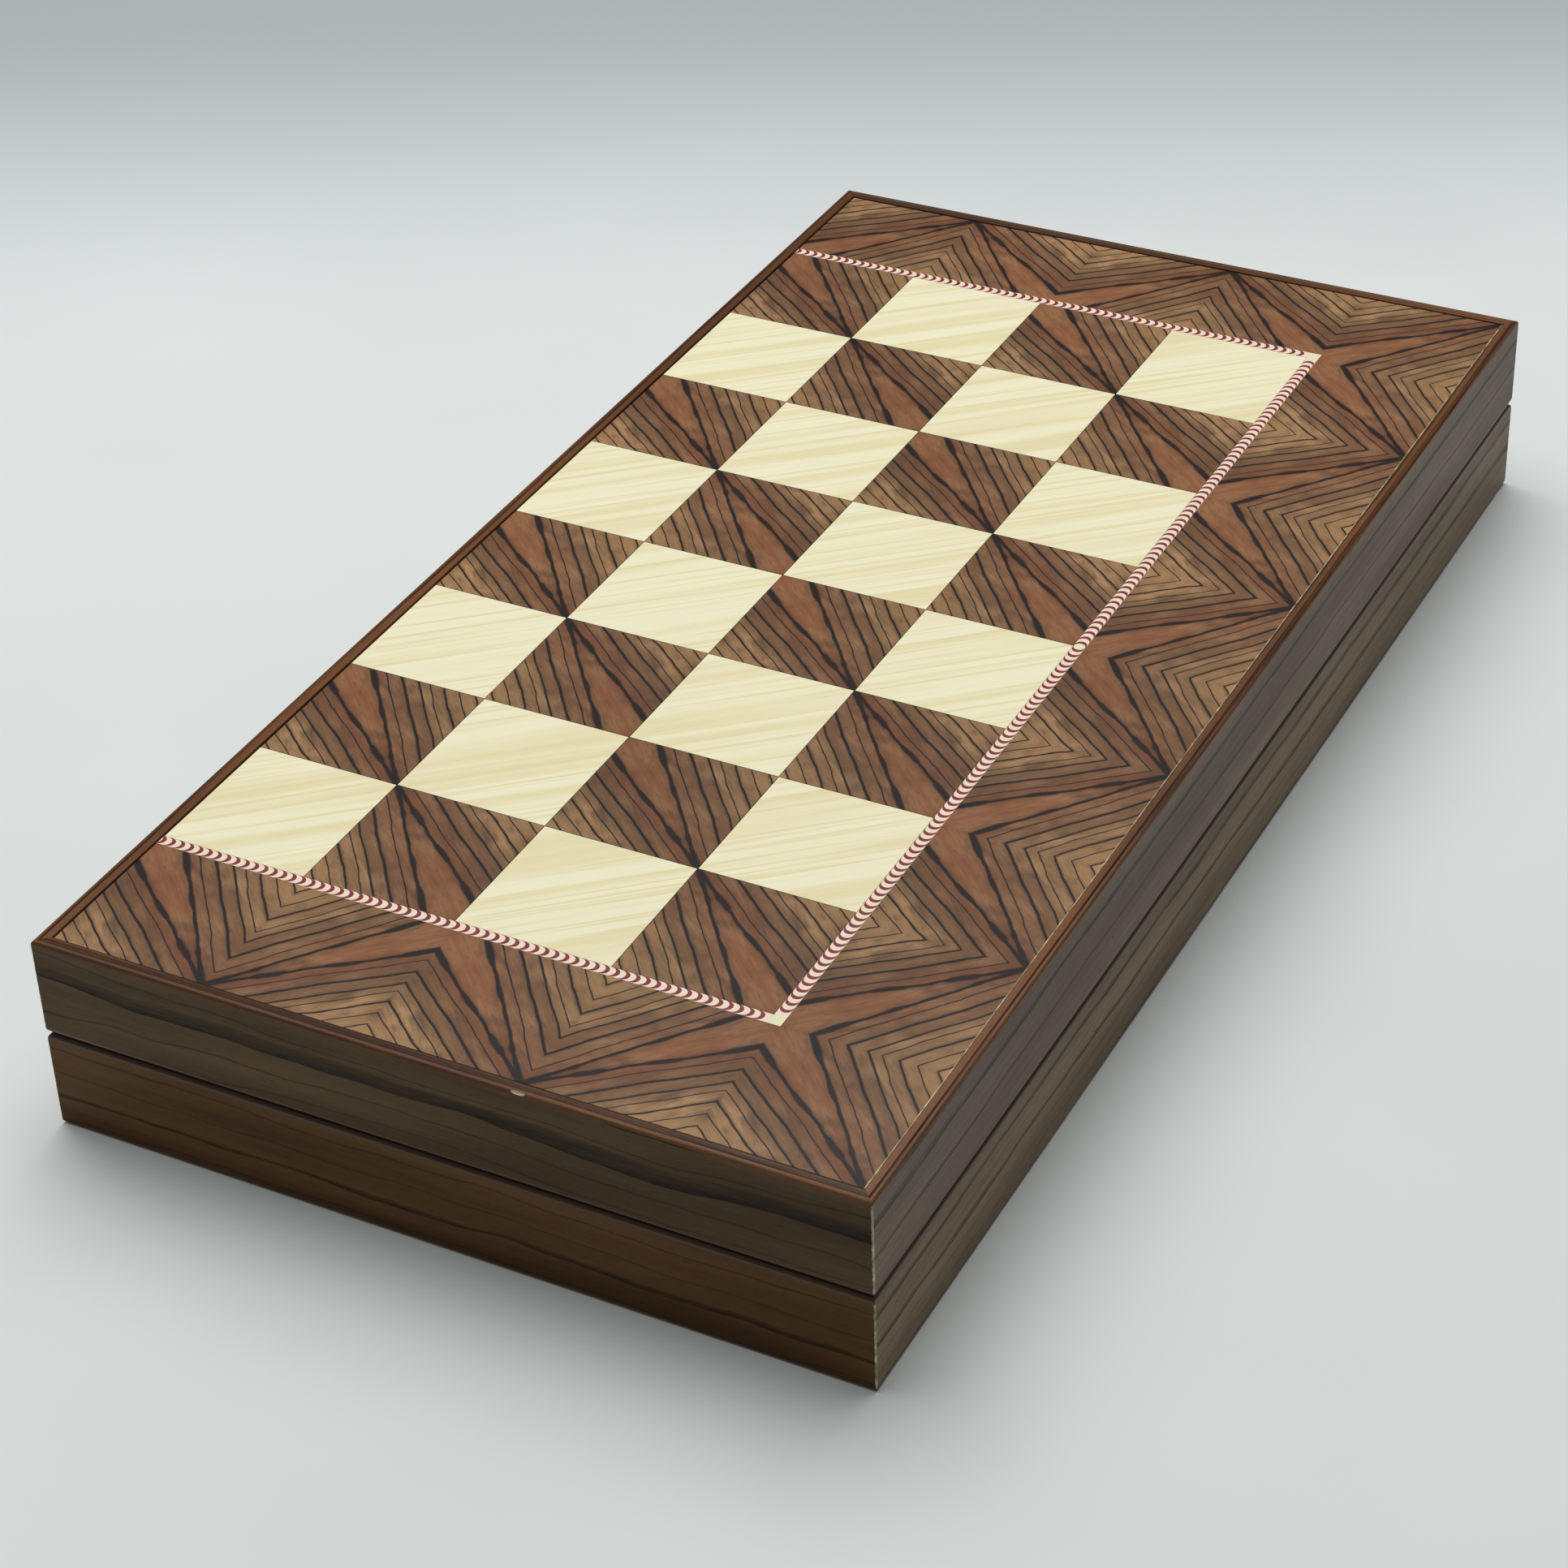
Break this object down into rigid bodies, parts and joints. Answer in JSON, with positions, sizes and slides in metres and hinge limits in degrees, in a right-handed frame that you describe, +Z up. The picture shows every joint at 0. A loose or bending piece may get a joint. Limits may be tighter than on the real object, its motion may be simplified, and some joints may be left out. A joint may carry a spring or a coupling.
{
  "type": "backgammon set",
  "caption": "Folding wooden backgammon box with a chessboard on its outside, a playing field inside, checkers, dice and brass butt hinges.",
  "frame": {"origin": "middle of the shut box's bounding box, on the surface it lies on", "axes": "+X along the hinge line, -Y towards the side that opens, +Z up"},
  "size_m": [0.48, 0.2462, 0.061],
  "materials": {
    "walnut_rail": "lacquered long-grain walnut",
    "marquetry_board": "lacquered walnut and ivory-toned veneers",
    "hinge_brass": "polished, slightly dulled",
    "magnet": "nickel plated",
    "light_checker": "turned, satin lacquer",
    "dark_checker": "turned, stained, satin lacquer",
    "dice": "moulded, glossy"
  },
  "bodies": {
    "lower_tray": {"lower_front_rail": "walnut_rail", "lower_right_rail": "walnut_rail", "lower_hinge_rail": "walnut_rail", "lower_left_rail": "walnut_rail", "lower_board_panel": "marquetry_board", "lower_magnet_left": "magnet", "lower_magnet_right": "magnet", "hinge_left_lower_leaf": "hinge_brass", "hinge_left_lower_screw_1": "hinge_brass", "hinge_left_lower_screw_2": "hinge_brass", "hinge_right_lower_leaf": "hinge_brass", "hinge_right_lower_screw_1": "hinge_brass", "hinge_right_lower_screw_2": "hinge_brass", "hinge_left_pin": "hinge_brass", "hinge_right_pin": "hinge_brass", "light_checker_01": "light_checker", "light_checker_02": "light_checker", "light_checker_03": "light_checker", "light_checker_04": "light_checker", "light_checker_05": "light_checker", "light_checker_06": "light_checker", "light_checker_07": "light_checker", "light_checker_08": "light_checker", "light_checker_09": "light_checker", "light_checker_10": "light_checker", "light_checker_11": "light_checker", "light_checker_12": "light_checker", "light_checker_13": "light_checker", "light_checker_14": "light_checker", "light_checker_15": "light_checker", "dark_checker_01": "dark_checker", "dark_checker_02": "dark_checker", "dark_checker_03": "dark_checker", "dark_checker_04": "dark_checker", "dark_checker_05": "dark_checker", "dark_checker_06": "dark_checker", "dark_checker_07": "dark_checker", "dark_checker_08": "dark_checker", "dark_checker_09": "dark_checker", "dark_checker_10": "dark_checker", "dark_checker_11": "dark_checker", "dark_checker_12": "dark_checker", "dark_checker_13": "dark_checker", "dark_checker_14": "dark_checker", "dark_checker_15": "dark_checker", "die_1": "dice", "die_2": "dice"},
    "upper_tray": {"upper_front_rail": "walnut_rail", "upper_right_rail": "walnut_rail", "upper_hinge_rail": "walnut_rail", "upper_left_rail": "walnut_rail", "upper_board_panel": "marquetry_board", "upper_magnet_left": "magnet", "upper_magnet_right": "magnet", "hinge_left_upper_leaf": "hinge_brass", "hinge_left_upper_screw_1": "hinge_brass", "hinge_left_upper_screw_2": "hinge_brass", "hinge_right_upper_leaf": "hinge_brass", "hinge_right_upper_screw_1": "hinge_brass", "hinge_right_upper_screw_2": "hinge_brass"}
  },
  "joints": [
    {"name": "lid_fold", "type": "hinge", "parent": "lower_tray", "child": "upper_tray", "pos_m": [0, 0.12115, 0.0305], "axis": [-1, 0, 0], "range_deg": [0, 180]}
  ]
}
